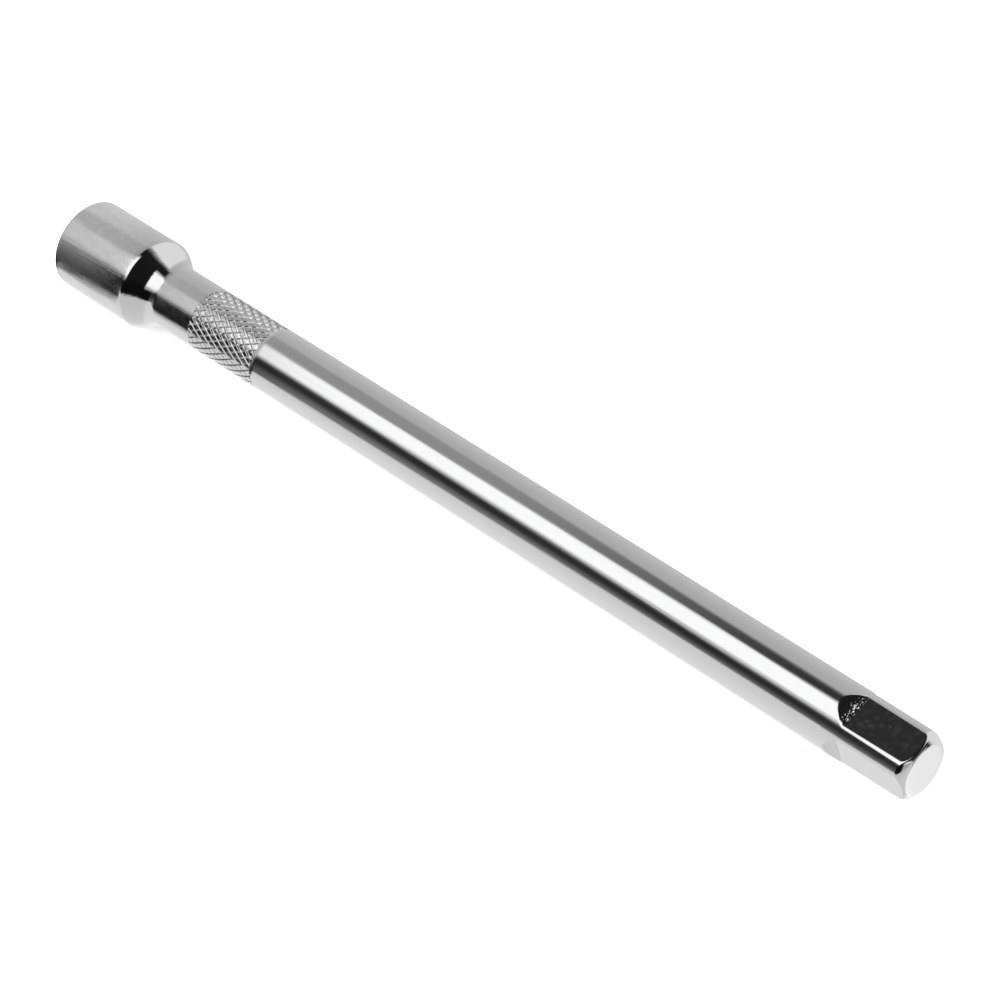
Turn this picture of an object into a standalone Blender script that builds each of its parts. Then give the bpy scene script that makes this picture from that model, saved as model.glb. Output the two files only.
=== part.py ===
"""Square drive socket extension bar: a one-piece forged bar with a sprung detent ball.

The bar lies along X. The socket head is at -X, the male square at +X, and the flats of both
squares face Y and Z. The origin is on the axis, half way along the bar. Units are metres.
"""
import math

import bmesh
import bpy
from mathutils import Matrix

# Whole bar
LENGTH = 0.250
SHANK_DIAMETER = 0.0152
HEAD_DIAMETER = 0.0219
HEAD_LENGTH = 0.0231             # from the head's end face to the theoretical shoulder corner
SHOULDER_LENGTH = 0.0054         # between the shoulder's two theoretical corners
SHOULDER_ROUND = 0.0017
NECK_FILLET = 0.0080
RIM_ROUND = 0.0003

# Male square
DRIVE_ACROSS_FLATS = 0.0127
DRIVE_FLAT_LENGTH = 0.0164       # from the end face back to the start of the milled run-out
RUNOUT_ANGLE = math.radians(20)
END_FACE_DIAMETER = 0.0116
END_CHAMFER_LENGTH = 0.0022
END_BULGE = (0.42, 0.60)         # the chamfer's middle point, as shares of its length and height

# Female square
SOCKET_ACROSS_FLATS = 0.01285
SOCKET_CORNER_ROUND = 0.0008
SOCKET_DEPTH = 0.0170
PILOT_DIAMETER = 0.0132
PILOT_DEPTH = 0.0195
MOUTH_DIAMETER = 0.0178
DRILL_POINT_ANGLE = math.radians(59)
GROOVE_DIAMETER = 0.0150
GROOVE_WIDTH = 0.0040

# Knurl band
KNURL_START = 0.0429             # from the head's end face
KNURL_LENGTH = 0.0207
KNURL_AROUND = 28
KNURL_ALONG = 7
KNURL_DEPTH = 0.00035
KNURL_CREST_DIAMETER = 0.01515    # a little under the shank, so crests never stand above it

# Detent
BALL_DIAMETER = 0.00476
BALL_STAND_OUT = 0.0011
BALL_FROM_END = 0.0080
DETENT_BORE_DIAMETER = 0.0050
DETENT_BORE_DEPTH = 0.0090
LIP_DIAMETER = 0.00424
LIP_DEPTH = 0.0005
SPRING_OUTER_DIAMETER = 0.0042
SPRING_WIRE_DIAMETER = 0.0005
SPRING_TURNS = 5.5
SPRING_GAP = 0.00007             # play between the spring and what it bears on

# Mesh
ROUND_STEPS = 64
PILOT_STEPS = 48
BORE_STEPS = 32
ARC_STEPS = 6
SMALL_ARC_STEPS = 3
OVERSHOOT = 0.001                # how far a cutter stands out of what it cuts
SMOOTH_LIMIT = math.radians(25)

HEAD_FACE_X = -LENGTH / 2
DRIVE_FACE_X = LENGTH / 2
HEAD_RADIUS = HEAD_DIAMETER / 2
SHANK_RADIUS = SHANK_DIAMETER / 2
DRIVE_HALF = DRIVE_ACROSS_FLATS / 2
DETENT_X = DRIVE_FACE_X - BALL_FROM_END
BALL_Y = DRIVE_HALF + BALL_STAND_OUT - BALL_DIAMETER / 2
BORE_FLOOR_Y = DRIVE_HALF - DETENT_BORE_DEPTH
ALONG_X = (0, math.radians(90), 0)
ALONG_Y = (math.radians(-90), 0, 0)


def collection(name):
    made = bpy.data.collections.new(name)
    bpy.context.scene.collection.children.link(made)
    return made


def material(name, colour, roughness):
    made = bpy.data.materials.new(name)
    made.use_nodes = True
    shader = made.node_tree.nodes["Principled BSDF"]
    shader.inputs["Base Color"].default_value = (*colour, 1)
    shader.inputs["Metallic"].default_value = 1
    shader.inputs["Roughness"].default_value = roughness
    return made


def add_object(name, data, where, rotation=(0, 0, 0), location=(0, 0, 0)):
    made = bpy.data.objects.new(name, data)
    made.rotation_euler = rotation
    made.location = location
    where.objects.link(made)
    return made


def as_cutter(made):
    made.hide_render = True
    made.display_type = 'WIRE'
    return made


def mesh_from(name, bm):
    mesh = bpy.data.meshes.new(name)
    bm.to_mesh(mesh)
    bm.free()
    return mesh


def turned(name, profile, where, rotation, location=(0, 0, 0), steps=ROUND_STEPS):
    """Turn a profile of (height, radius) points, listed from the top down, about the object's Z."""
    bm = bmesh.new()
    points = [bm.verts.new((radius, 0, height)) for height, radius in profile]
    for first, second in zip(points, points[1:]):
        bm.edges.new((first, second))
    made = add_object(name, mesh_from(name, bm), where, rotation, location)
    screw = made.modifiers.new("Turn", 'SCREW')
    screw.steps = steps
    screw.render_steps = steps
    screw.use_merge_vertices = True
    screw.merge_threshold = 0.00001
    return made


def round_corner(before, corner, after, radius, steps=ARC_STEPS):
    """Points of the arc that rounds a corner between two straight lines of a profile."""
    to_before = math.atan2(before[1] - corner[1], before[0] - corner[0])
    to_after = math.atan2(after[1] - corner[1], after[0] - corner[0])
    turn = (to_after - to_before + math.pi) % math.tau - math.pi
    to_centre = radius / math.sin(abs(turn) / 2)
    middle = to_before + turn / 2
    centre = (corner[0] + to_centre * math.cos(middle), corner[1] + to_centre * math.sin(middle))
    side = math.copysign(1, turn)
    start = to_before - side * math.pi / 2
    sweep = -side * (math.pi - abs(turn))
    angles = [start + sweep * step / steps for step in range(steps + 1)]
    return [(centre[0] + radius * math.cos(a), centre[1] + radius * math.sin(a)) for a in angles]


def boolean(target, cutter, operation='DIFFERENCE'):
    cut = target.modifiers.new(cutter.name, 'BOOLEAN')
    cut.operation = operation
    cut.solver = 'EXACT'
    cut.object = cutter


def bar_blank(where):
    """The turned blank: end chamfer, shank, neck fillet, shoulder, head and rim."""
    face = (DRIVE_FACE_X, END_FACE_DIAMETER / 2)
    chamfer_end = (DRIVE_FACE_X - END_CHAMFER_LENGTH, SHANK_RADIUS)
    neck = (HEAD_FACE_X + HEAD_LENGTH + SHOULDER_LENGTH, SHANK_RADIUS)
    shoulder = (HEAD_FACE_X + HEAD_LENGTH, HEAD_RADIUS)
    rim = (HEAD_FACE_X, HEAD_RADIUS)
    profile = [(DRIVE_FACE_X, 0), face]
    profile.append((DRIVE_FACE_X - END_CHAMFER_LENGTH * END_BULGE[0],
                    face[1] + (SHANK_RADIUS - face[1]) * END_BULGE[1]))
    profile.append(chamfer_end)
    profile += round_corner(chamfer_end, neck, shoulder, NECK_FILLET)
    profile += round_corner(neck, shoulder, rim, SHOULDER_ROUND)
    profile += round_corner(shoulder, rim, (HEAD_FACE_X, 0), RIM_ROUND,
                            SMALL_ARC_STEPS)
    profile.append((HEAD_FACE_X, 0))
    return turned("extension_bar", profile, where, ALONG_X)


def knurl_recess(where):
    """A ring cut to the knurl's root, which leaves a seat for the knurled sleeve."""
    start = HEAD_FACE_X + KNURL_START
    root = SHANK_RADIUS - KNURL_DEPTH
    outside = SHANK_RADIUS + OVERSHOOT
    inner = root - OVERSHOOT
    profile = [(start + KNURL_LENGTH, inner), (start + KNURL_LENGTH, outside)]
    profile += [(start, outside), (start, inner), (start + KNURL_LENGTH, inner)]
    return as_cutter(turned("knurl_recess", profile, where, ALONG_X))


def knurled_sleeve(where):
    """A sleeve of raised diamonds: a grid is poked twice, so each cell edge becomes one pyramid."""
    cell = KNURL_LENGTH / KNURL_ALONG
    rows = KNURL_ALONG + 1
    root = SHANK_RADIUS - KNURL_DEPTH
    bm = bmesh.new()
    bmesh.ops.create_cone(bm, segments=KNURL_AROUND, radius1=root, radius2=root,
                          depth=cell * rows, cap_ends=True)
    sides = [edge for edge in bm.edges if abs(edge.verts[0].co.z - edge.verts[1].co.z) > cell]
    bmesh.ops.subdivide_edges(bm, edges=sides, cuts=rows - 1, use_grid_fill=True)
    wall = [face for face in bm.faces if len(face.verts) == 4]
    old_edges = [edge for edge in bm.edges
                 if all(len(face.verts) == 4 for face in edge.link_faces)]
    crowns = bmesh.ops.poke(bm, faces=wall)["verts"]
    for vert in crowns:
        vert.co.xy *= root / vert.co.xy.length
    bmesh.ops.dissolve_edges(bm, edges=old_edges, use_verts=False)
    diamonds = [face for face in bm.faces if len(face.verts) == 4]
    peaks = bmesh.ops.poke(bm, faces=diamonds)["verts"]
    for vert in peaks:
        vert.co.xy *= KNURL_CREST_DIAMETER / 2 / vert.co.xy.length
    middle = HEAD_FACE_X + KNURL_START + KNURL_LENGTH / 2
    return as_cutter(add_object("knurled_sleeve", mesh_from("knurled_sleeve", bm), where,
                                ALONG_X, (middle, 0, 0)))


def flat_cutter(index, where):
    """One pass of the mill: a flat at half the width across flats, and the sloping run-out."""
    flat_start = DRIVE_FACE_X - DRIVE_FLAT_LENGTH
    top = SHANK_RADIUS + OVERSHOOT
    runout = (top - DRIVE_HALF) / math.tan(RUNOUT_ANGLE)
    end = DRIVE_FACE_X + OVERSHOOT
    outline = [(end, DRIVE_HALF), (flat_start, DRIVE_HALF), (flat_start - runout, top), (end, top)]
    bm = bmesh.new()
    face = bm.faces.new([bm.verts.new((x, -SHANK_RADIUS, z)) for x, z in outline])
    pulled = bmesh.ops.extrude_face_region(bm, geom=[face])["geom"]
    moved = [item for item in pulled if isinstance(item, bmesh.types.BMVert)]
    bmesh.ops.translate(bm, verts=moved, vec=(0, 2 * SHANK_RADIUS, 0))
    bmesh.ops.recalc_face_normals(bm, faces=bm.faces)
    name = f"flat_cutter_{index}"
    return as_cutter(add_object(name, mesh_from(name, bm), where, (index * math.pi / 2, 0, 0)))


def pilot_cutter(where):
    """The drilled pilot of the socket, with its mouth chamfer, ball groove and drill point."""
    pilot = PILOT_DIAMETER / 2
    mouth = MOUTH_DIAMETER / 2
    groove = GROOVE_DIAMETER / 2
    groove_x = HEAD_FACE_X + BALL_FROM_END
    slope = groove - pilot
    floor = HEAD_FACE_X + PILOT_DEPTH
    profile = [(floor + pilot / math.tan(DRILL_POINT_ANGLE), 0), (floor, pilot)]
    profile += [(groove_x + GROOVE_WIDTH / 2, pilot), (groove_x + GROOVE_WIDTH / 2 - slope, groove)]
    profile += [(groove_x - GROOVE_WIDTH / 2 + slope, groove), (groove_x - GROOVE_WIDTH / 2, pilot)]
    profile += [(HEAD_FACE_X + mouth - pilot, pilot), (HEAD_FACE_X - OVERSHOOT, mouth + OVERSHOOT)]
    profile.append((HEAD_FACE_X - OVERSHOOT, 0))
    return as_cutter(turned("pilot_cutter", profile, where, ALONG_X,
                             steps=PILOT_STEPS))


def socket_cutter(where):
    """The broached square of the socket, with small corner rounds."""
    bm = bmesh.new()
    bmesh.ops.create_cube(bm, size=1)
    length = SOCKET_DEPTH + OVERSHOOT
    size = Matrix.Diagonal((length, SOCKET_ACROSS_FLATS, SOCKET_ACROSS_FLATS, 1))
    bmesh.ops.transform(bm, matrix=size, verts=bm.verts)
    along = [edge for edge in bm.edges if abs(edge.verts[0].co.x - edge.verts[1].co.x) > OVERSHOOT]
    bmesh.ops.bevel(bm, geom=along, offset=SOCKET_CORNER_ROUND, segments=SMALL_ARC_STEPS,
                    affect='EDGES', profile=0.5)
    middle = HEAD_FACE_X + SOCKET_DEPTH - length / 2
    return as_cutter(add_object("socket_cutter", mesh_from("socket_cutter", bm), where,
                                location=(middle, 0, 0)))


def detent_bore_cutter(where):
    """The blind bore of the ball and spring, narrowed at the mouth by the staked lip."""
    bore = DETENT_BORE_DIAMETER / 2
    lip = LIP_DIAMETER / 2
    tip = BORE_FLOOR_Y - bore / math.tan(DRILL_POINT_ANGLE)
    profile = [(DRIVE_HALF + OVERSHOOT, 0), (DRIVE_HALF + OVERSHOOT, lip), (DRIVE_HALF, lip)]
    profile += [(DRIVE_HALF - LIP_DEPTH, bore), (BORE_FLOOR_Y, bore), (tip, 0)]
    return as_cutter(turned("detent_bore_cutter", profile, where, ALONG_Y,
                            (DETENT_X, 0, 0), BORE_STEPS))


def extension_bar(parts, cutters):
    made = bar_blank(parts)
    boolean(made, knurl_recess(cutters))
    boolean(made, knurled_sleeve(cutters), 'UNION')
    for index in range(4):
        boolean(made, flat_cutter(index, cutters))
    boolean(made, pilot_cutter(cutters))
    boolean(made, socket_cutter(cutters))
    boolean(made, detent_bore_cutter(cutters))
    return made


def detent_ball(parts):
    bm = bmesh.new()
    bmesh.ops.create_uvsphere(bm, u_segments=32, v_segments=16, radius=BALL_DIAMETER / 2)
    return add_object("detent_ball", mesh_from("detent_ball", bm), parts, ALONG_Y,
                      (DETENT_X, BALL_Y, 0))


def detent_spring(parts):
    """A compression spring whose last turn bears under the ball; its own Z is the bore's axis."""
    wire = SPRING_WIRE_DIAMETER / 2
    coil = SPRING_OUTER_DIAMETER / 2 - wire
    reach = BALL_DIAMETER / 2 + wire + SPRING_GAP
    top = BALL_Y - math.sqrt(reach ** 2 - coil ** 2)
    bottom = BORE_FLOOR_Y + wire + SPRING_GAP
    per_turn = 12
    count = round(SPRING_TURNS * per_turn)
    curve = bpy.data.curves.new("detent_spring", 'CURVE')
    curve.dimensions = '3D'
    curve.bevel_depth = wire
    curve.bevel_resolution = 2
    curve.use_fill_caps = True
    spline = curve.splines.new('POLY')
    spline.points.add(count)
    for index, point in enumerate(spline.points):
        angle = math.tau * index / per_turn
        height = bottom + (top - bottom) * index / count
        point.co = (coil * math.cos(angle), coil * math.sin(angle), height, 1)
    return add_object("detent_spring", curve, parts, ALONG_Y, (DETENT_X, 0, 0))


def main():
    for old in list(bpy.data.objects):
        bpy.data.objects.remove(old, do_unlink=True)
    parts = collection("extension_bar_assembly")
    cutters = collection("cutters")
    chrome = material("satin_chrome", (0.78, 0.79, 0.80), 0.18)
    ball_steel = material("ball_steel", (0.62, 0.63, 0.65), 0.12)
    spring_steel = material("spring_steel", (0.42, 0.42, 0.44), 0.35)
    bar = extension_bar(parts, cutters)
    ball = detent_ball(parts)
    spring = detent_spring(parts)
    for made, finish in ((bar, chrome), (ball, ball_steel), (spring, spring_steel)):
        made.data.materials.append(finish)
    for made in (bar, ball):
        made.data.shade_smooth()
        made.data.set_sharp_from_angle(angle=SMOOTH_LIMIT)


main()
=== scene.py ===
import math

import bmesh
import bpy
import numpy as np
from mathutils import Matrix, Vector, noise


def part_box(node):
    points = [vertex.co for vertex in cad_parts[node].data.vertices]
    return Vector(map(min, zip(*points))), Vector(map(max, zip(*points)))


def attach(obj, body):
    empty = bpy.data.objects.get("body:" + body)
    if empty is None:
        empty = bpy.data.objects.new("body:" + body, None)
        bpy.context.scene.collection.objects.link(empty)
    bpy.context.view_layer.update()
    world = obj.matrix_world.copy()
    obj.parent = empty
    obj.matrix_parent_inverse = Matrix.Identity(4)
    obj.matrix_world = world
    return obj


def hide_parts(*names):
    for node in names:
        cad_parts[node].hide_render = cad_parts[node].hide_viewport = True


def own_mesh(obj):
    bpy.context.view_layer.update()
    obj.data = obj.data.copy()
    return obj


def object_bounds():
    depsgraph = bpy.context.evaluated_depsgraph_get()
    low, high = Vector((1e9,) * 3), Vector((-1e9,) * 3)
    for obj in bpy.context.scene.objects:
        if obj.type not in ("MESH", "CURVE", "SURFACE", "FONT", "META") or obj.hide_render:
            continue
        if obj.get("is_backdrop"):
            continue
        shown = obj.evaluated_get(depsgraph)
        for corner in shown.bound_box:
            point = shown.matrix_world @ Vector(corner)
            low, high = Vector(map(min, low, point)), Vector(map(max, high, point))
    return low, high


MM = 0.001

# The bar lies along X: the head's face is at -X and the square drive's end face at +X.
HEAD_FACE_X = -125.0 * MM
DRIVE_FACE_X = 125.0 * MM
SHANK_RADIUS = 7.6 * MM
HEAD_RADIUS = 10.95 * MM
HEAD_LENGTH = 23.1 * MM
WHEEL_POLISH_LENGTH = 14.0 * MM
SHOULDER_LENGTH = 5.4 * MM
SHOULDER_EASE_X = 1.6 * MM
SHOULDER_EASE_DROP = 0.84 * MM
SHOULDER_ROUND = 1.7 * MM
SHOULDER_EASE_ROUND = 12.0 * MM
NECK_FILLET = 8.0 * MM
RIM_ROUND = 0.3 * MM
END_FACE_RADIUS = 5.8 * MM
END_CHAMFER_LENGTH = 2.2 * MM
END_CHAMFER_BULGE = 0.5 * MM
END_EDGE_ROUND = 0.18 * MM

# The square drive: four milled flats that run out into the round shank.
FLAT_DISTANCE = 6.35 * MM
FLAT_START_X = DRIVE_FACE_X - 16.4 * MM
RUNOUT_SLOPE = math.tan(math.radians(20))
RUNOUT_ROUND = 0.2 * MM
RUNOUT_EDGE_ROUND = 0.05 * MM
FLAT_EDGE_ROUND = 0.16 * MM
FLAT_EDGE_ROUND_AT_END = 0.36 * MM
TORN_HEIGHT = 0.22 * MM
TORN_LENGTH = 1.8 * MM
TORN_GRAIN = 0.3 * MM
TORN_BEFORE_FLAT = 0.3 * MM
TORN_FADING_UP = 2.5
TORN_FADING_ALONG_FLAT = 14

# The square socket in the head.
MOUTH_RADIUS = 8.9 * MM
MOUTH_SLOPE = 1.0
SOCKET_HALF = 6.425 * MM
SOCKET_CORNER_ROUND = 0.8 * MM
SOCKET_DEPTH = 17.0 * MM
PILOT_RADIUS = 6.6 * MM
PILOT_DEPTH = 19.5 * MM
DRILL_POINT_SLOPE = math.tan(math.radians(59))
GROOVE_RADIUS = 7.5 * MM
GROOVE_MIDDLE = 8.0 * MM
GROOVE_WIDTH = 4.0 * MM

# The knurl: diamonds between two families of grooves that wind round the bar. Places are shares of a
# diamond's width, from the middle of one groove to the next, and shares are of a groove's depth. The
# first family's grooves are gentle on one side, where each diamond also steps down a little. The
# second family's grooves are deep only between two grooves of the first.
KNURL_START_X = HEAD_FACE_X + 42.9 * MM
KNURL_LENGTH = 20.7 * MM
KNURL_END_X = KNURL_START_X + KNURL_LENGTH
KNURL_AROUND = 28
KNURL_ALONG = 7
KNURL_STEPS = (0.0, 0.08, 0.15, 0.38, 0.62, 0.7, 0.85, 0.9)
KNURL_FIRST_STEP = 4
KNURL_TURN = math.radians(2)  # how far the pattern is turned about the bar
FIRST_GROOVE_DEPTH = 0.14 * MM
FIRST_GROOVE_PLACES = (0.0, 0.08, 0.62, 0.7, 0.9, 1.0)
FIRST_GROOVE_SHARES = (1.0, 0.0, 0.0, 0.2, 0.22, 1.0)
SECOND_GROOVE_DEPTH = 0.26 * MM
SECOND_GROOVE_PLACES = (0.0, 0.15, 0.85, 1.0)
SECOND_GROOVE_SHARES = (1.0, 0.0, 0.0, 1.0)
SECOND_REACH_PLACES = (0.0, 0.15, 0.62, 0.7, 1.0)
SECOND_REACH_SHARES = (0.4, 1.0, 1.0, 0.4, 0.4)
KNURL_CREST_DROP = 0.01 * MM
KNURL_UNEVEN = 0.012 * MM
KNURL_BORDER = 0.25 * MM
KNURL_BORDER_DROP = 0.05 * MM
AROUND = KNURL_AROUND * len(KNURL_STEPS)  # points round the bar, so rings meet the knurl's edges

# The detent: a ball in a bore in the +Y flat, on a spring.
DETENT_X = DRIVE_FACE_X - 8.0 * MM
BALL_RADIUS = 2.38 * MM
BALL_CENTRE_Y = 5.07 * MM
LIP_RADIUS = 2.12 * MM
LIP_DEPTH = 0.5 * MM
BORE_RADIUS = 2.5 * MM
BORE_FLOOR_Y = -2.65 * MM
SPRING_RADIUS = 1.85 * MM
SPRING_WIRE_RADIUS = 0.25 * MM
SPRING_TURNS = 5.5

PHOTO_CAMERA = Vector((0.38835, -0.22462, 0.54727))
PHOTO_TARGET = Vector((0.00655, 0.00193, -0.00375))
PHOTO_ROLL = math.radians(-20.476)
PHOTO_LENS = 119.04

FLOOR_LIGHT = 4.0
TABLE_EDGE_NORMAL = (-0.728, 0.462, 0.507)
WHITE = 1.22
BLACK = 0.01

CHROME = (0.78, 0.785, 0.785, 1)


# ---------------------------------------------------------------- profiles

def arc(before, corner, after, radius, steps):
    """Points of the arc that rounds a corner between two straight lines of a profile."""
    to_before = math.atan2(before[1] - corner[1], before[0] - corner[0])
    to_after = math.atan2(after[1] - corner[1], after[0] - corner[0])
    turn = (to_after - to_before + math.pi) % math.tau - math.pi
    to_centre = radius / math.sin(abs(turn) / 2)
    middle = to_before + turn / 2
    centre = (corner[0] + to_centre * math.cos(middle), corner[1] + to_centre * math.sin(middle))
    side = math.copysign(1, turn)
    start = to_before - side * math.pi / 2
    sweep = -side * (math.pi - abs(turn))
    angles = [start + sweep * step / steps for step in range(steps + 1)]
    return [(centre[0] + radius * math.cos(a), centre[1] + radius * math.sin(a)) for a in angles]


def curve(start, control, end, steps):
    """Points of a quadratic curve."""
    points = []
    for step in range(steps + 1):
        t = step / steps
        points.append(tuple((1 - t) ** 2 * s + 2 * t * (1 - t) * c + t * t * e
                            for s, c, e in zip(start, control, end)))
    return points


def evenly(start, end, count):
    """Evenly spaced values, with both ends."""
    return list(np.linspace(start, end, count))


def head_profile():
    """(x, radius) from the socket mouth's edge out over the rim, shoulder and neck."""
    centre_line = (HEAD_FACE_X, 0)
    rim = (HEAD_FACE_X, HEAD_RADIUS)
    shoulder = (HEAD_FACE_X + HEAD_LENGTH, HEAD_RADIUS)
    neck = (shoulder[0] + SHOULDER_LENGTH, SHANK_RADIUS)
    knurl = (KNURL_START_X, SHANK_RADIUS)
    points = [(HEAD_FACE_X, radius) for radius in evenly(MOUTH_RADIUS, HEAD_RADIUS - RIM_ROUND, 5)]
    points += arc(centre_line, rim, shoulder, RIM_ROUND, 5)[1:]
    points += [(x, HEAD_RADIUS) for x in evenly(HEAD_FACE_X + 1 * MM, shoulder[0] - 1.6 * MM, 9)]
    ease = (shoulder[0] + SHOULDER_EASE_X, HEAD_RADIUS - SHOULDER_EASE_DROP)
    points += arc(rim, shoulder, ease, SHOULDER_ROUND, 8)
    points += arc(shoulder, ease, neck, SHOULDER_EASE_ROUND, 5)
    points += arc(ease, neck, knurl, NECK_FILLET, 16)
    points += [(x, SHANK_RADIUS) for x in evenly(neck[0] + 3 * MM, KNURL_START_X - 0.5 * MM, 5)]
    return points


def end_profile_radius(x):
    """The turned blank's radius near the square end, before its flats are milled."""
    from_end = DRIVE_FACE_X - x
    if from_end >= END_CHAMFER_LENGTH:
        return SHANK_RADIUS
    share = from_end / END_CHAMFER_LENGTH
    bulge = END_CHAMFER_BULGE * 4 * share * (1 - share)
    return END_FACE_RADIUS + (SHANK_RADIUS - END_FACE_RADIUS) * share + bulge


# ---------------------------------------------------------------- outer surface

def smooth_min(first, second, reach):
    """The smaller of two radii, with the edge where they cross rounded over."""
    gap = np.maximum(reach - np.abs(first - second), 0) / reach
    return np.minimum(first, second) - gap * gap * reach / 4


def flat_distance(x):
    """How far a milled flat lies from the axis: level, then up along the cutter's run-out."""
    rise = (FLAT_START_X - x) * RUNOUT_SLOPE
    eased = (rise + math.sqrt(rise * rise + (RUNOUT_ROUND * RUNOUT_SLOPE) ** 2)) / 2
    return FLAT_DISTANCE + eased


def drive_ring(x, angles, blank_radius):
    """The radius of the shank or square drive at each angle."""
    radii = np.full(len(angles), blank_radius)
    distance = flat_distance(x)
    reach = np.interp(x, (FLAT_START_X - 1 * MM, FLAT_START_X, DRIVE_FACE_X),
                      (RUNOUT_EDGE_ROUND, FLAT_EDGE_ROUND, FLAT_EDGE_ROUND_AT_END))
    for quarter in range(4):
        lean = np.cos(angles - quarter * math.pi / 2)
        flat = np.where(lean > 0.5, distance / np.maximum(lean, 0.5), 2 * SHANK_RADIUS)
        radii = smooth_min(radii, flat, reach)
    cut_away = np.clip((blank_radius - radii) / (0.1 * MM), 0, 1)
    return radii - cut_away * torn_metal(x, angles)


def torn_metal(x, angles):
    """How deep the milling cutter tore the surface at each angle. It tore most where a flat begins."""
    from_worst = (x - FLAT_START_X + TORN_BEFORE_FLAT) / TORN_LENGTH
    fading = TORN_FADING_UP if from_worst < 0 else TORN_FADING_ALONG_FLAT
    amount = TORN_HEIGHT * math.exp(-from_worst * from_worst * fading)
    if amount < 0.002 * MM:
        return np.zeros(len(angles))
    places = [Vector((x, SHANK_RADIUS * math.cos(a), SHANK_RADIUS * math.sin(a))) / TORN_GRAIN
              for a in angles]
    torn = np.array([noise.noise(place) + 0.6 * noise.noise(place * 2.3) for place in places])
    return amount * np.maximum(torn, -0.1)


def socket_ring(depth, angles):
    """The radius of the socket's wall at each angle, at a depth behind the head's face."""
    square = np.zeros(len(angles))
    if depth <= SOCKET_DEPTH:
        around = (angles + math.pi / 4) % (math.pi / 2) - math.pi / 4
        side = SOCKET_HALF / np.cos(around)
        diagonal = SOCKET_HALF * math.sqrt(2) - SOCKET_CORNER_ROUND * (math.sqrt(2) - 1)
        corner = diagonal / np.cos(math.pi / 4 - np.abs(around))
        square = smooth_min(side, corner, SOCKET_CORNER_ROUND * 0.5)
    mouth = MOUTH_RADIUS - depth / MOUTH_SLOPE
    return np.maximum(square, max(PILOT_RADIUS, mouth, groove_radius(depth)))


def groove_radius(depth):
    """The radius of the round groove that holds a ratchet's ball, and 0 outside it."""
    half = GROOVE_WIDTH / 2
    offset = abs(depth - GROOVE_MIDDLE)
    if offset >= half:
        return 0.0
    return GROOVE_RADIUS - 0.2 * MM * (offset / half) ** 4


# ---------------------------------------------------------------- mesh building

class Shell:
    """Vertices and faces of one closed skin, with a material index for each face."""

    def __init__(self):
        self.points = []
        self.faces = []
        self.finishes = []

    def add_ring(self, x, radii, angles):
        first = len(self.points)
        for radius, angle in zip(radii, angles):
            self.points.append((x, -radius * math.sin(angle), radius * math.cos(angle)))
        return list(range(first, first + len(angles)))

    def add_point(self, x):
        self.points.append((x, 0.0, 0.0))
        return len(self.points) - 1

    def add_face(self, corners, finish):
        self.faces.append(corners)
        self.finishes.append(finish)

    def join(self, ring, following, finish):
        count = len(ring)
        for i in range(count):
            j = (i + 1) % count
            self.add_face((ring[i], ring[j], following[j], following[i]), finish)

    def fan(self, ring, centre, finish):
        count = len(ring)
        for i in range(count):
            self.add_face((ring[i], ring[(i + 1) % count], centre), finish)


def knurl_depth(s, t):
    """How deep the knurl's surface lies below its crests at a place on the diamond grid."""
    first = np.interp(t % 1, FIRST_GROOVE_PLACES, FIRST_GROOVE_SHARES)
    second = np.interp(s % 1, SECOND_GROOVE_PLACES, SECOND_GROOVE_SHARES)
    second *= np.interp(t % 1, SECOND_REACH_PLACES, SECOND_REACH_SHARES)
    return KNURL_CREST_DROP + max(FIRST_GROOVE_DEPTH * first, SECOND_GROOVE_DEPTH * second)


def knurl_patch(shell, finish):
    """The knurl's skin on a grid that follows its grooves. Returns its two edge rings and their angles."""
    steps = len(KNURL_STEPS)
    turn = KNURL_AROUND * steps
    first = KNURL_FIRST_STEP
    last = first + KNURL_ALONG * steps * 2
    start = first / steps / 2
    made = {}

    def place(i):
        return i // steps + KNURL_STEPS[i % steps]

    def vertex(i, j):
        laps = math.floor((i - j) / (2 * turn))
        i, j = i - laps * turn, j + laps * turn
        if (i, j) not in made:
            s, t = place(i), place(j)
            angle = (s - t) / 2 / KNURL_AROUND * math.tau + KNURL_TURN
            share = ((s + t) / 2 - start) / KNURL_ALONG
            if i + j in (first, last):
                share = round(share)
            x = KNURL_START_X + share * KNURL_LENGTH
            rolled = Vector((x, SHANK_RADIUS * math.cos(angle), SHANK_RADIUS * math.sin(angle)))
            radius = SHANK_RADIUS - knurl_depth(s, t)
            radius -= KNURL_UNEVEN * abs(noise.noise(rolled / MM))
            made[(i, j)] = len(shell.points)
            shell.points.append((x, -radius * math.sin(angle), radius * math.cos(angle)))
        return made[(i, j)]

    for i in range(turn):
        for j in range(first - i - 1, last - i):
            corners = [(i, j), (i + 1, j), (i + 1, j + 1), (i, j + 1)]
            inside = [c for c in corners if first <= c[0] + c[1] <= last]
            if len(inside) >= 3:
                shell.add_face(tuple(vertex(*c) for c in inside), finish)
    near = [(i, first - i) for i in range(turn)]
    far = [(i, last - i) for i in range(turn)]
    return edge_ring(shell, [vertex(*c) for c in near]), edge_ring(shell, [vertex(*c) for c in far])


def edge_ring(shell, indices):
    """Sorts a ring's points by angle and returns them with their angles."""
    found = {}
    for index in indices:
        _, y, z = shell.points[index]
        found[index] = math.atan2(-y, z) % math.tau
    ordered = sorted(indices, key=found.get)
    if found[ordered[-1]] > math.tau - 1e-6:
        found[ordered[-1]] = 0.0
        ordered = [ordered[-1]] + ordered[:-1]
    return ordered, np.array([found[index] for index in ordered])


FINISHES = ("socket", "face", "head", "neck", "knurl", "shank", "milled", "drive", "end")


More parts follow.
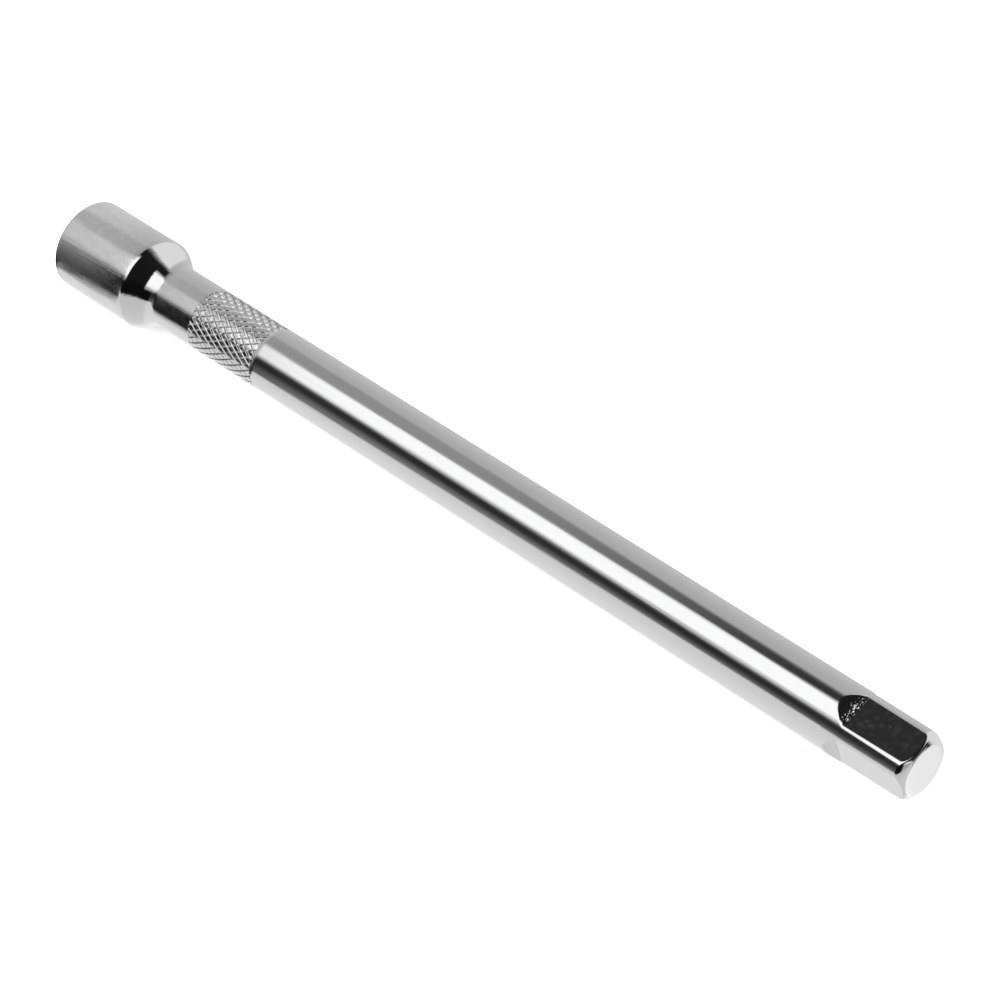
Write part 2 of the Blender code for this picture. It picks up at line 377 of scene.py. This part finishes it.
def build_bar():
    """The whole bar as one skin, from the tip of the socket's drill point round to the end face."""
    shell = Shell()
    finish = {name: index for index, name in enumerate(FINISHES)}
    even = np.arange(AROUND) * math.tau / AROUND
    ring = socket_skin(shell, even, finish)
    ring = head_skin(shell, ring, even, finish)
    ring = knurl_skin(shell, ring, finish)
    ring = drive_skin(shell, ring, even, finish)
    end_skin(shell, ring, even, finish)
    return shell


def round_ring(shell, x, radius, angles):
    """A ring of one radius."""
    return shell.add_ring(x, np.full(AROUND, radius), angles)


def socket_skin(shell, even, finish):
    """The socket, from the drill point's tip out to the mouth. Returns its last ring."""
    tip = shell.add_point(HEAD_FACE_X + PILOT_DEPTH + PILOT_RADIUS / DRILL_POINT_SLOPE)
    ring = None
    for radius in evenly(0.8 * MM, PILOT_RADIUS, 6):
        x = HEAD_FACE_X + PILOT_DEPTH + (PILOT_RADIUS - radius) / DRILL_POINT_SLOPE
        following = round_ring(shell, x, radius, even)
        if ring is None:
            shell.fan(following, tip, finish["socket"])
        else:
            shell.join(ring, following, finish["socket"])
        ring = following
    for depth in socket_depths():
        following = shell.add_ring(HEAD_FACE_X + depth, socket_ring(depth, even), even)
        shell.join(ring, following, finish["socket"])
        ring = following
    return ring


def socket_depths():
    """Depths of the socket's rings: close together at the square's floor, the groove and the mouth."""
    groove_end = GROOVE_MIDDLE + GROOVE_WIDTH / 2
    groove_start = GROOVE_MIDDLE - GROOVE_WIDTH / 2
    step = 0.02 * MM
    depths = [SOCKET_DEPTH + 0.03 * MM, SOCKET_DEPTH, 15.0 * MM, 12.5 * MM, groove_end, groove_end - step]
    depths += evenly(groove_end - 0.3 * MM, groove_start + 0.3 * MM, 6)
    depths += [groove_start + step, groove_start, 5.0 * MM, 4.0 * MM, 3.0 * MM]
    return depths + evenly(2.6 * MM, 0.12 * MM, 12)


def head_skin(shell, ring, even, finish):
    """The head's face, rim and side, the shoulder and the neck. Returns its last ring."""
    for x, radius in head_profile():
        following = round_ring(shell, x, radius, even)
        if x < HEAD_FACE_X + 0.001 * MM:
            zone = "face"
        elif x < HEAD_FACE_X + HEAD_LENGTH or radius > HEAD_RADIUS - 0.05 * MM:
            zone = "head"
        else:
            zone = "neck"
        shell.join(ring, following, finish[zone])
        ring = following
    return ring


def knurl_skin(shell, ring, finish):
    """The knurl, and the rounded edge of the shank behind it. Returns its last ring."""
    (near, near_angles), (far, far_angles) = knurl_patch(shell, finish["knurl"])
    following = round_ring(shell, KNURL_START_X - 0.03 * MM, SHANK_RADIUS, near_angles)
    shell.join(ring, following, finish["neck"])
    shell.join(following, near, finish["knurl"])
    ring = far
    for share in (0.03, 0.1, 0.3, 0.6, 1.0):
        radius = SHANK_RADIUS - KNURL_BORDER_DROP * (1 - share) ** 2
        following = round_ring(shell, KNURL_END_X + KNURL_BORDER * share, radius, far_angles)
        shell.join(ring, following, finish["knurl" if share < 0.05 else "shank"])
        ring = following
    return ring


def drive_skin(shell, ring, even, finish):
    """The shank, and the square drive with its run-outs and bevels. Returns its last ring."""
    runout_top = FLAT_START_X - (SHANK_RADIUS - FLAT_DISTANCE) / RUNOUT_SLOPE
    bevel_start = DRIVE_FACE_X - END_CHAMFER_LENGTH
    stations = evenly(KNURL_END_X + 1.2 * MM, runout_top - 0.9 * MM, 16)
    stations += evenly(runout_top - 0.8 * MM, FLAT_START_X + 0.8 * MM, 40)
    stations += evenly(FLAT_START_X + 2 * MM, bevel_start - 0.7 * MM, 7)
    stations += evenly(bevel_start - 0.4 * MM, DRIVE_FACE_X - END_EDGE_ROUND, 24)
    for x in stations:
        following = shell.add_ring(x, drive_ring(x, even, end_profile_radius(x)), even)
        zone = "shank" if x < runout_top - 0.6 * MM else "milled" if x < FLAT_START_X else "drive"
        shell.join(ring, following, finish[zone])
        ring = following
    return ring


def end_skin(shell, ring, even, finish):
    """The rounded edge of the end face, and the face."""
    before = (DRIVE_FACE_X - END_EDGE_ROUND, end_profile_radius(DRIVE_FACE_X - END_EDGE_ROUND))
    corner = (DRIVE_FACE_X, END_FACE_RADIUS)
    after = (DRIVE_FACE_X, END_FACE_RADIUS - END_EDGE_ROUND)
    for x, radius in curve(before, corner, after, 4)[1:]:
        following = round_ring(shell, x, radius, even)
        shell.join(ring, following, finish["drive"])
        ring = following
    for share in (0.75, 0.5, 0.25):
        following = round_ring(shell, DRIVE_FACE_X, END_FACE_RADIUS * share, even)
        shell.join(ring, following, finish["end"])
        ring = following
    shell.fan(ring, shell.add_point(DRIVE_FACE_X), finish["end"])


def mesh_object(name, points, faces):
    mesh = bpy.data.meshes.new(name)
    mesh.from_pydata(points, [], faces)
    made = bpy.data.objects.new(name, mesh)
    bpy.context.scene.collection.objects.link(made)
    return made


def face_outwards(made):
    bm = bmesh.new()
    bm.from_mesh(made.data)
    bmesh.ops.recalc_face_normals(bm, faces=bm.faces)
    if bm.calc_volume(signed=True) < 0:
        bmesh.ops.reverse_faces(bm, faces=bm.faces)
    bm.to_mesh(made.data)
    bm.free()


def cut(target, cutter):
    """Subtracts the cutter from the target and deletes it."""
    modifier = target.modifiers.new("Cut", 'BOOLEAN')
    modifier.operation = 'DIFFERENCE'
    modifier.solver = 'EXACT'
    modifier.object = cutter
    bpy.context.view_layer.update()
    result = bpy.data.meshes.new_from_object(target.evaluated_get(bpy.context.evaluated_depsgraph_get()))
    target.modifiers.clear()
    old = target.data
    target.data = result
    bpy.data.meshes.remove(old)
    bpy.data.objects.remove(cutter)


def smooth_sides(made, sharp_angle, flat_finishes=()):
    """Smooth shading with sharp edges, except that faces of the flat finishes stay flat."""
    mesh = made.data
    mesh.shade_smooth()
    mesh.set_sharp_from_angle(angle=math.radians(sharp_angle))
    for face in mesh.polygons:
        if face.material_index in flat_finishes:
            face.use_smooth = False


def turned_along_y(name, profile, x, count):
    """A closed solid of (y, radius) points turned round an axis along Y; it starts and ends on the axis."""
    points = [(x, profile[0][0], 0.0), (x, profile[-1][0], 0.0)]
    faces = []
    rings = []
    for y, radius in profile[1:-1]:
        first = len(points)
        for step in range(count):
            angle = step * math.tau / count
            points.append((x + radius * math.cos(angle), y, radius * math.sin(angle)))
        rings.append(range(first, first + count))
    for i in range(count):
        j = (i + 1) % count
        faces.append((0, rings[0][i], rings[0][j]))
        faces.append((1, rings[-1][j], rings[-1][i]))
        for ring, following in zip(rings, rings[1:]):
            faces.append((ring[i], following[i], following[j], ring[j]))
    made = mesh_object(name, points, faces)
    face_outwards(made)
    return made


def detent_bore():
    tip_y = BORE_FLOOR_Y - BORE_RADIUS / DRILL_POINT_SLOPE
    profile = [(tip_y, 0), (BORE_FLOOR_Y, BORE_RADIUS), (FLAT_DISTANCE - LIP_DEPTH, BORE_RADIUS),
               (FLAT_DISTANCE - LIP_DEPTH, LIP_RADIUS), (FLAT_DISTANCE - 0.08 * MM, LIP_RADIUS),
               (FLAT_DISTANCE + 0.04 * MM, LIP_RADIUS + 0.12 * MM),
               (FLAT_DISTANCE + 3 * MM, LIP_RADIUS + 0.12 * MM), (FLAT_DISTANCE + 3 * MM, 0)]
    return turned_along_y("detent_bore", profile, DETENT_X, 96)


def extension_bar():
    shell = build_bar()
    made = mesh_object("chrome_bar", shell.points, shell.faces)
    finishes = bar_finishes()
    for name in FINISHES:
        made.data.materials.append(finishes[name])
    made.data.polygons.foreach_set("material_index", shell.finishes)
    face_outwards(made)
    cutter = detent_bore()
    cutter.data.materials.append(finishes["socket"])
    cut(made, cutter)
    smooth_sides(made, 32, [FINISHES.index("knurl")])
    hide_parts("extension_bar")
    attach(made, "bar")
    return made


def detent_ball():
    rings = 48
    profile = [(BALL_CENTRE_Y - BALL_RADIUS * math.cos(math.pi * step / rings),
                BALL_RADIUS * math.sin(math.pi * step / rings)) for step in range(rings + 1)]
    made = turned_along_y("steel_ball", profile, DETENT_X, 96)
    made.data.materials.append(ball_finish())
    smooth_sides(made, 60)
    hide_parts("detent_ball")
    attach(made, "ball")
    return made


def detent_spring():
    """A coil with closed end turns, from the bore's floor up to the ball."""
    low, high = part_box("detent_spring")
    bottom = low.y + SPRING_WIRE_RADIUS
    rise = high.y - low.y - 2 * SPRING_WIRE_RADIUS
    steps = 260
    sides = 14
    points = []
    for step in range(steps + 1):
        share = step / steps
        angle = SPRING_TURNS * math.tau * share
        eased = share - math.sin(math.tau * share) / math.tau * 0.75
        centre = Vector((DETENT_X + SPRING_RADIUS * math.cos(angle), bottom + rise * eased,
                         SPRING_RADIUS * math.sin(angle)))
        outward = Vector((math.cos(angle), 0, math.sin(angle)))
        for side in range(sides):
            turn = side * math.tau / sides
            offset = outward * math.cos(turn) + Vector((0, math.sin(turn), 0))
            points.append(tuple(centre + offset * SPRING_WIRE_RADIUS))
    faces = [tuple(range(sides)), tuple(range(steps * sides, (steps + 1) * sides))]
    for step in range(steps):
        for side in range(sides):
            other = (side + 1) % sides
            faces.append((step * sides + side, step * sides + other,
                          (step + 1) * sides + other, (step + 1) * sides + side))
    made = mesh_object("coil_spring", points, faces)
    face_outwards(made)
    made.data.materials.append(spring_finish())
    smooth_sides(made, 50)
    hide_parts("detent_spring")
    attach(made, "bar")
    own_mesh(made)
    return made


# ---------------------------------------------------------------- node helpers

class Nodes:
    """Short calls for building a node tree. A value is a number or another node's socket."""

    def __init__(self, tree):
        self.tree = tree

    def add(self, kind, **settings):
        """A new node, with its settings."""
        node = self.tree.nodes.new(kind)
        for name, value in settings.items():
            setattr(node, name, value)
        return node

    def put(self, socket, value):
        if isinstance(value, bpy.types.NodeSocket):
            self.tree.links.new(value, socket)
        else:
            socket.default_value = value

    def math(self, operation, first, second=0.0):
        node = self.add("ShaderNodeMath", operation=operation)
        self.put(node.inputs[0], first)
        self.put(node.inputs[1], second)
        return node.outputs[0]

    def ramp(self, value, start, end, low=0.0, high=1.0):
        """A smooth step of value: low up to start, high from end on."""
        node = self.add("ShaderNodeMapRange", interpolation_type='SMOOTHSTEP')
        if start <= end:
            limits = (start, end, low, high)
        else:
            limits = (end, start, high, low)
        self.put(node.inputs["Value"], value)
        for name, limit in zip(("From Min", "From Max", "To Min", "To Max"), limits):
            node.inputs[name].default_value = limit
        return node.outputs["Result"]

    def band(self, value, start, end, soft):
        """1 between start and end, and 0 outside, with soft edges."""
        rising = self.ramp(value, start - soft / 2, start + soft / 2)
        falling = self.ramp(value, end + soft / 2, end - soft / 2)
        return self.math('MULTIPLY', rising, falling)

    def blend(self, share, first, second):
        node = self.add("ShaderNodeMix", data_type='FLOAT')
        self.put(node.inputs[0], share)
        self.put(node.inputs[2], first)
        self.put(node.inputs[3], second)
        return node.outputs[0]

    def tint(self, share, first, second):
        node = self.add("ShaderNodeMix", data_type='RGBA')
        self.put(node.inputs[0], share)
        self.put(node.inputs[6], first)
        self.put(node.inputs[7], second)
        return node.outputs[2]

    def place(self):
        return self.add("ShaderNodeTexCoord").outputs["Object"]

    def scaled(self, place, scale):
        node = self.add("ShaderNodeMapping")
        self.put(node.inputs["Vector"], place)
        node.inputs["Scale"].default_value = scale
        return node.outputs["Vector"]

    def noise(self, place, scale, detail=3.0, roughness=0.5, distortion=0.0):
        node = self.add("ShaderNodeTexNoise")
        self.put(node.inputs["Vector"], place)
        node.inputs["Scale"].default_value = scale
        node.inputs["Detail"].default_value = detail
        node.inputs["Roughness"].default_value = roughness
        node.inputs["Distortion"].default_value = distortion
        return node.outputs["Fac"]

    def bump(self, height, distance, strength=1.0, normal=None):
        node = self.add("ShaderNodeBump")
        node.inputs["Strength"].default_value = strength
        node.inputs["Distance"].default_value = distance
        self.put(node.inputs["Height"], height)
        if normal is not None:
            self.put(node.inputs["Normal"], normal)
        return node.outputs["Normal"]


def new_finish(name, colour, roughness):
    """A metal material. Returns it with its node helper and its shader."""
    made = bpy.data.materials.new(name)
    made.use_nodes = True
    made.node_tree.nodes.clear()
    nodes = Nodes(made.node_tree)
    shader = nodes.add("ShaderNodeBsdfPrincipled")
    shader.inputs["Base Color"].default_value = colour
    shader.inputs["Metallic"].default_value = 1.0
    shader.inputs["Roughness"].default_value = roughness
    output = nodes.add("ShaderNodeOutputMaterial")
    nodes.put(output.inputs["Surface"], shader.outputs["BSDF"])
    return made, nodes, shader


# ---------------------------------------------------------------- finishes

def scratches(nodes, place, scale, threshold):
    """Thin long marks: high where a stretched noise peaks."""
    marks = nodes.noise(nodes.scaled(place, scale), 1.0, 2.0)
    return nodes.ramp(marks, threshold, threshold + 0.06)


def polish_lines(nodes, place, along_scale, across_scale):
    """Long soft lines along the bar, as a polishing belt leaves them."""
    return nodes.noise(nodes.scaled(place, (along_scale, across_scale, across_scale)), 1.0, 5.0, 0.6)


def shank_finish():
    """Bright polished plating, with the faint streaks that polishing leaves."""
    made, nodes, shader = new_finish("bright_chrome", CHROME, 0.07)
    place = nodes.place()
    streaks = polish_lines(nodes, place, 16.0, 1100.0)
    cloud = nodes.noise(place, 60.0, 3.0)
    marks = scratches(nodes, place, (30.0, 1400.0, 1400.0), 0.66)
    rough = nodes.ramp(streaks, 0.3, 0.75, 0.04, 0.1)
    rough = nodes.math('ADD', rough, nodes.math('MULTIPLY', cloud, 0.03))
    rough = nodes.math('ADD', rough, nodes.math('MULTIPLY', marks, 0.06))
    nodes.put(shader.inputs["Roughness"], rough)
    nodes.put(shader.inputs["Normal"], nodes.bump(streaks, 0.000018))
    return made


def head_finish():
    """Satin plating: soft lines along the bar, a fine mottle and a few dull patches.

    Towards the shoulder the polishing wheel left it smoother, and a little lower, which is only bump.
    """
    made, nodes, shader = new_finish("satin_head_chrome", CHROME, 0.13)
    place = nodes.place()
    lines = polish_lines(nodes, place, 90.0, 1000.0)
    mottle = nodes.noise(place, 600.0, 5.0, 0.65)
    patches = nodes.noise(nodes.scaled(place, (90.0, 260.0, 260.0)), 1.0, 4.0, 0.6)
    rough = nodes.ramp(patches, 0.3, 0.75, 0.1, 0.2)
    to_shoulder = share_to_shoulder(nodes, place)
    polished = nodes.ramp(to_shoulder, 0.1, 0.9, 1.0, 0.2)
    nodes.put(shader.inputs["Roughness"], nodes.math('MULTIPLY', rough, polished))
    dished = nodes.math('MULTIPLY', nodes.math('POWER', to_shoulder, 2.0), -1.0)
    shade = nodes.tint(nodes.ramp(mottle, 0.35, 0.65), (0.76, 0.765, 0.765, 1), (0.8, 0.805, 0.805, 1))
    nodes.put(shader.inputs["Base Color"], shade)
    normal = nodes.bump(dished, 0.00011)
    normal = nodes.bump(lines, 0.00005, 1.0, normal)
    normal = nodes.bump(mottle, 0.000009, 1.0, normal)
    nodes.put(shader.inputs["Normal"], normal)
    return made


def share_to_shoulder(nodes, place):
    """0 up to where the wheel's polish starts on the head, then growing evenly to 1 at the shoulder."""
    parts = nodes.add("ShaderNodeSeparateXYZ")
    nodes.put(parts.inputs[0], place)
    share = nodes.add("ShaderNodeMapRange")
    nodes.put(share.inputs["Value"], parts.outputs[0])
    shoulder_x = HEAD_FACE_X + HEAD_LENGTH
    share.inputs["From Min"].default_value = shoulder_x - WHEEL_POLISH_LENGTH
    share.inputs["From Max"].default_value = shoulder_x
    return share.outputs[0]


def neck_finish():
    """Hand polished shoulder and neck: its lines fray the edges of what it mirrors."""
    made, nodes, shader = new_finish("polished_neck_chrome", CHROME, 0.12)
    place = nodes.place()
    lines = polish_lines(nodes, place, 150.0, 2200.0)
    waves = nodes.noise(nodes.scaled(place, (160.0, 420.0, 420.0)), 1.0, 3.0)
    cloud = nodes.noise(place, 300.0, 3.0)
    nodes.put(shader.inputs["Roughness"], nodes.ramp(cloud, 0.3, 0.75, 0.02, 0.04))
    normal = nodes.bump(waves, 0.000013)
    nodes.put(shader.inputs["Normal"], nodes.bump(lines, 0.000015, 1.0, normal))
    return made


def knurl_finish():
    """Rolled diamonds, plated bright over a fine grain. Their shape is in the mesh."""
    made, nodes, shader = new_finish("knurled_chrome", CHROME, 0.06)
    place = nodes.place()
    grain = nodes.noise(place, 2600.0, 3.0, 0.6)
    nodes.put(shader.inputs["Roughness"], nodes.ramp(grain, 0.3, 0.8, 0.04, 0.1))
    nodes.put(shader.inputs["Normal"], nodes.bump(grain, 0.000008, 0.3))
    return made


def milled_finish():
    """The run-out of the milling cutter: plated over a grainy surface."""
    made, nodes, shader = new_finish("milled_chrome", CHROME, 0.1)
    place = nodes.place()
    grain = nodes.noise(place, 5000.0, 3.0, 0.6)
    nodes.put(shader.inputs["Roughness"], nodes.ramp(grain, 0.3, 0.75, 0.06, 0.14))
    nodes.put(shader.inputs["Normal"], nodes.bump(grain, 0.00001, 0.5))
    return made


def drive_finish():
    """The ground flats of the square, plated bright, with fine marks along them."""
    made, nodes, shader = new_finish("ground_flat_chrome", CHROME, 0.08)
    place = nodes.place()
    grinding = nodes.noise(nodes.scaled(place, (120.0, 2600.0, 2600.0)), 1.0, 3.0)
    cloud = nodes.noise(place, 900.0, 3.0)
    nodes.put(shader.inputs["Roughness"], nodes.ramp(cloud, 0.35, 0.75, 0.05, 0.15))
    nodes.put(shader.inputs["Normal"], nodes.bump(grinding, 0.000008))
    return made


def end_finish():
    """The end face: ground flat, then plated a little duller."""
    made, nodes, shader = new_finish("end_face_chrome", CHROME, 0.16)
    place = nodes.place()
    grain = nodes.noise(place, 1500.0, 4.0, 0.6)
    nodes.put(shader.inputs["Roughness"], nodes.ramp(grain, 0.3, 0.75, 0.11, 0.22))
    nodes.put(shader.inputs["Normal"], nodes.bump(grain, 0.00001, 0.25))
    return made


def socket_finish():
    """Thin plating inside the socket and bore: darker and rougher."""
    made, nodes, shader = new_finish("socket_chrome", (0.6, 0.6, 0.6, 1), 0.3)
    place = nodes.place()
    grain = nodes.noise(nodes.scaled(place, (300.0, 900.0, 900.0)), 1.0, 4.0, 0.6)
    nodes.put(shader.inputs["Roughness"], nodes.ramp(grain, 0.3, 0.75, 0.22, 0.38))
    shade = nodes.tint(grain, (0.5, 0.5, 0.505, 1), (0.68, 0.68, 0.68, 1))
    nodes.put(shader.inputs["Base Color"], shade)
    nodes.put(shader.inputs["Normal"], nodes.bump(grain, 0.00002, 0.4))
    return made


def face_finish():
    """The ring face round the socket's mouth: turned, then plated satin."""
    made, nodes, shader = new_finish("head_face_chrome", CHROME, 0.2)
    place = nodes.place()
    grain = nodes.noise(place, 900.0, 4.0, 0.6)
    nodes.put(shader.inputs["Roughness"], nodes.ramp(grain, 0.3, 0.75, 0.16, 0.27))
    nodes.put(shader.inputs["Normal"], nodes.bump(grain, 0.00001, 0.3))
    return made


def bar_finishes():
    """One material for each name in FINISHES."""
    return {
        "socket": socket_finish(), "face": face_finish(), "head": head_finish(),
        "neck": neck_finish(), "knurl": knurl_finish(), "shank": shank_finish(),
        "milled": milled_finish(), "drive": drive_finish(), "end": end_finish(),
    }


def ball_finish():
    """Bare hardened steel with light rolling marks."""
    made, nodes, shader = new_finish("polished_ball_steel", (0.62, 0.62, 0.63, 1), 0.08)
    place = nodes.place()
    marks = nodes.noise(place, 1200.0, 4.0, 0.6)
    nodes.put(shader.inputs["Roughness"], nodes.ramp(marks, 0.35, 0.75, 0.06, 0.16))
    nodes.put(shader.inputs["Normal"], nodes.bump(marks, 0.000005, 0.3))
    return made


def spring_finish():
    """Drawn wire, dull and dark."""
    made, nodes, shader = new_finish("drawn_spring_steel", (0.42, 0.42, 0.43, 1), 0.3)
    place = nodes.place()
    drawing = nodes.noise(place, 3000.0, 3.0, 0.6)
    nodes.put(shader.inputs["Roughness"], nodes.ramp(drawing, 0.3, 0.75, 0.24, 0.4))
    nodes.put(shader.inputs["Normal"], nodes.bump(drawing, 0.000008, 0.4))
    return made


# ---------------------------------------------------------------- studio

def studio():
    """A plain white studio. What the chrome mirrors is a set of soft cards, laid out by direction.

    around is the direction's angle about the bar's axis in degrees, 0 straight up and positive
    to the back. along is the direction's part along the bar, positive towards the square end.
    """
    world = bpy.data.worlds.new("studio")
    bpy.context.scene.world = world
    world.use_nodes = True
    world.node_tree.nodes.clear()
    nodes = Nodes(world.node_tree)
    direction = nodes.add("ShaderNodeSeparateXYZ")
    nodes.put(direction.inputs[0], nodes.add("ShaderNodeTexCoord").outputs["Generated"])
    along, back, up = direction.outputs[0], direction.outputs[1], direction.outputs[2]
    around = nodes.math('MULTIPLY', nodes.math('ARCTAN2', back, up), math.degrees(1))

    light = mirrored_cards(nodes, along, back, up, around)
    rays = nodes.add("ShaderNodeLightPath")
    light = nodes.blend(rays.outputs["Is Diffuse Ray"], light, FLOOR_LIGHT)
    light = nodes.blend(rays.outputs["Is Camera Ray"], light, 1.0)
    background = nodes.add("ShaderNodeBackground")
    nodes.put(background.inputs["Color"], light)
    nodes.put(nodes.add("ShaderNodeOutputWorld").inputs["Surface"], background.outputs[0])


def mirrored_cards(nodes, along, back, up, around):
    """How bright the studio looks in each direction that the chrome mirrors.

    From the photo's camera each stretch of the bar mirrors its own value of along: the head about
    -0.65, the neck -0.63, the shank from -0.6 at the knurl to -0.43 at the square, and the square
    -0.42. The shoulder, the bevel and the knurl's walls mirror directions far from those.
    """
    head_side = nodes.ramp(along, -0.638, -0.66)  # 1 where only the head looks
    light = back_wall(nodes, along, around, head_side)
    light = dark_panel(nodes, light, along, around)
    light = dark_front(nodes, light, along, around, head_side)
    light = dark_left(nodes, light, along, around)
    light = softbox(nodes, light, along, around)
    light = right_card(nodes, light, along, around)
    return white_table(nodes, light, along, back, up, around)


def back_wall(nodes, along, around, head_side):
    """A grey wall, a little lighter downwards and to the head's side, over a white table."""
    wall = nodes.blend(head_side, nodes.ramp(around, 45, 125, 0.49, 0.62), 0.73)
    return nodes.blend(nodes.ramp(around, 137, 170), wall, nodes.ramp(along, -0.2, 0.55, 0.95, 1.25))


def dark_panel(nodes, light, along, around):
    """A panel over the back, darker and narrower towards the square end."""
    panel = nodes.ramp(along, -0.56, -0.44, 0.33, 0.03)
    panel = nodes.blend(nodes.ramp(along, -0.42, -0.38), panel, 0.012)
    panel = nodes.blend(nodes.ramp(along, -0.6, -0.65), panel, 0.52)
    lower_edge = nodes.ramp(along, -0.58, -0.45, 0.0, 8.0)
    place = nodes.math('ADD', around, lower_edge)
    return nodes.blend(nodes.band(place, -4, 48, 16), light, panel)


def dark_front(nodes, light, along, around, head_side):
    """The photographer's side: dark, with a dim grey strip low down that ends past the square.

    For the neck it is almost black. The head mirrors a grey slope there instead, and just before the
    shoulder one black streak.
    """
    strip = nodes.ramp(around, -60, -88, 0.028, 0.21)
    strip = nodes.blend(nodes.ramp(along, -0.38, -0.28), strip, 0.005)
    near_head = nodes.ramp(along, -0.604, -0.614)
    front = nodes.blend(near_head, strip, nodes.ramp(around, -62, -100, 0.001, 0.01))
    front = nodes.blend(head_side, front, nodes.ramp(around, -28, -114, 0.5, 0.02))
    streak = nodes.math('MULTIPLY', nodes.band(around, -96, -52, 10), nodes.ramp(along, -0.652, -0.642))
    streak = nodes.math('MULTIPLY', streak, nodes.ramp(along, -0.61, -0.63))
    front = nodes.blend(streak, front, 0.005)
    return nodes.blend(nodes.ramp(around, -6, -16), light, front)


def dark_left(nodes, light, along, around):
    """Past the head it is dark, which shows on the sides of the knurl's diamonds."""
    left = nodes.math('MULTIPLY', nodes.ramp(along, -0.89, -0.93), nodes.band(around, -170, 130, 10))
    return nodes.blend(left, light, 0.02)


def softbox(nodes, light, along, around):
    """The box overhead, from above the head to above the square end. Its edges lean a little."""
    box = nodes.ramp(along, -0.622, -0.605, 0.56, WHITE)
    box = nodes.blend(nodes.ramp(along, 0.13, 0.2), box, BLACK)
    lean = nodes.ramp(along, -0.6, -0.43, 1.0, -1.5)
    lean = nodes.math('ADD', lean, nodes.ramp(along, -0.61, -0.63, 0.0, -7.0))
    front_edge = nodes.ramp(nodes.math('SUBTRACT', around, lean), -51, -29)
    widening = nodes.ramp(along, -0.62, -0.42, -1.5, 3.5)
    back_edge = nodes.ramp(nodes.math('SUBTRACT', around, widening), 13, 0)
    return nodes.blend(nodes.math('MULTIPLY', front_edge, back_edge), light, box)


def right_card(nodes, light, along, around):
    """White beside the square end, and black at its far end."""
    right = nodes.math('MULTIPLY', nodes.ramp(along, -0.4, -0.2), nodes.band(around, 45, 145, 3))
    light = nodes.blend(right, light, nodes.ramp(along, 0.6, 0.75, 0.87, 0.02))
    return far_right(nodes, light, along, around)


def far_right(nodes, light, along, around):
    """A second box and a grey wall past the square end, for whoever looks from the head's end."""
    past_end = nodes.ramp(along, 0.76, 0.84)
    dark_gap = nodes.math('MULTIPLY', past_end, nodes.band(around, -10, 100, 10))
    light = nodes.blend(nodes.math('SUBTRACT', past_end, dark_gap), light, 0.4)
    box = nodes.math('MULTIPLY', nodes.ramp(along, 0.66, 0.74), nodes.band(around, -42, -12, 12))
    return nodes.blend(box, light, 0.95)


def white_table(nodes, light, along, back, up, around):
    """The table in front, from a straight edge downwards. The edge bends a little at the head."""
    edge = nodes.math('MULTIPLY', along, TABLE_EDGE_NORMAL[0])
    edge = nodes.math('ADD', edge, nodes.math('MULTIPLY', back, TABLE_EDGE_NORMAL[1]))
    edge = nodes.math('ADD', edge, nodes.math('MULTIPLY', up, TABLE_EDGE_NORMAL[2]))
    edge = nodes.math('ADD', edge, nodes.ramp(along, -0.615, -0.645, 0.0, 0.045))
    under = nodes.math('MULTIPLY', nodes.ramp(around, -122, -134), nodes.ramp(along, -0.72, -0.68))
    inside = nodes.math('MAXIMUM', nodes.ramp(edge, 0.04, -0.02), under)
    table = nodes.math('MULTIPLY', inside, nodes.ramp(around, -77, -84))
    brightness = nodes.ramp(around, -85, -150, 0.75, 0.85)
    brightness = nodes.blend(nodes.ramp(around, -160, -180), brightness, 1.0)
    brightness = nodes.math('MULTIPLY', brightness, nodes.ramp(along, -0.3, -0.12, 1.0, 0.84))
    return nodes.blend(table, light, brightness)


def floor():
    """A pale floor that the camera sees and the chrome doesn't mirror."""
    reach = 6.0
    low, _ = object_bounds()
    corners = [(-reach, -reach), (reach, -reach), (reach, reach), (-reach, reach)]
    made = mesh_object("floor", [(x, y, low.z - 0.05 * MM) for x, y in corners], [(0, 1, 2, 3)])
    finish = bpy.data.materials.new("pale_floor")
    finish.use_nodes = True
    shader = finish.node_tree.nodes["Principled BSDF"]
    shader.inputs["Base Color"].default_value = (0.8, 0.8, 0.8, 1)
    shader.inputs["Roughness"].default_value = 0.9
    shader.inputs["Specular IOR Level"].default_value = 0.0
    made.data.materials.append(finish)
    made.visible_glossy = False
    made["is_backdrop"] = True


def camera():
    """The photo's camera: its place, aim, roll and lens were fitted to the bar's outline."""
    data = bpy.data.cameras.new("photo_camera")
    data.lens = PHOTO_LENS
    data.sensor_width = 36.0
    data.clip_start = 0.01
    data.clip_end = 50.0
    made = bpy.data.objects.new("photo_camera", data)
    bpy.context.scene.collection.objects.link(made)
    aim = (PHOTO_TARGET - PHOTO_CAMERA).to_track_quat('-Z', 'Y').to_matrix().to_4x4()
    made.matrix_world = Matrix.Translation(PHOTO_CAMERA) @ aim @ Matrix.Rotation(PHOTO_ROLL, 4, 'Z')
    bpy.context.scene.camera = made


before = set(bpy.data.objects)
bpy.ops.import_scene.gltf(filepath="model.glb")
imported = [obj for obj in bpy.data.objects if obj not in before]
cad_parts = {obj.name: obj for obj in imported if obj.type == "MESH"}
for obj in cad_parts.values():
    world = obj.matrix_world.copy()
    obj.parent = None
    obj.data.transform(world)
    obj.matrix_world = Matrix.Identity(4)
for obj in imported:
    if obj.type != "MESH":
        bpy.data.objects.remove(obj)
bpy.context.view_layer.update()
camera()
bpy.context.scene.view_settings.view_transform = 'Standard'
studio()
floor()
extension_bar()
detent_ball()
detent_spring()
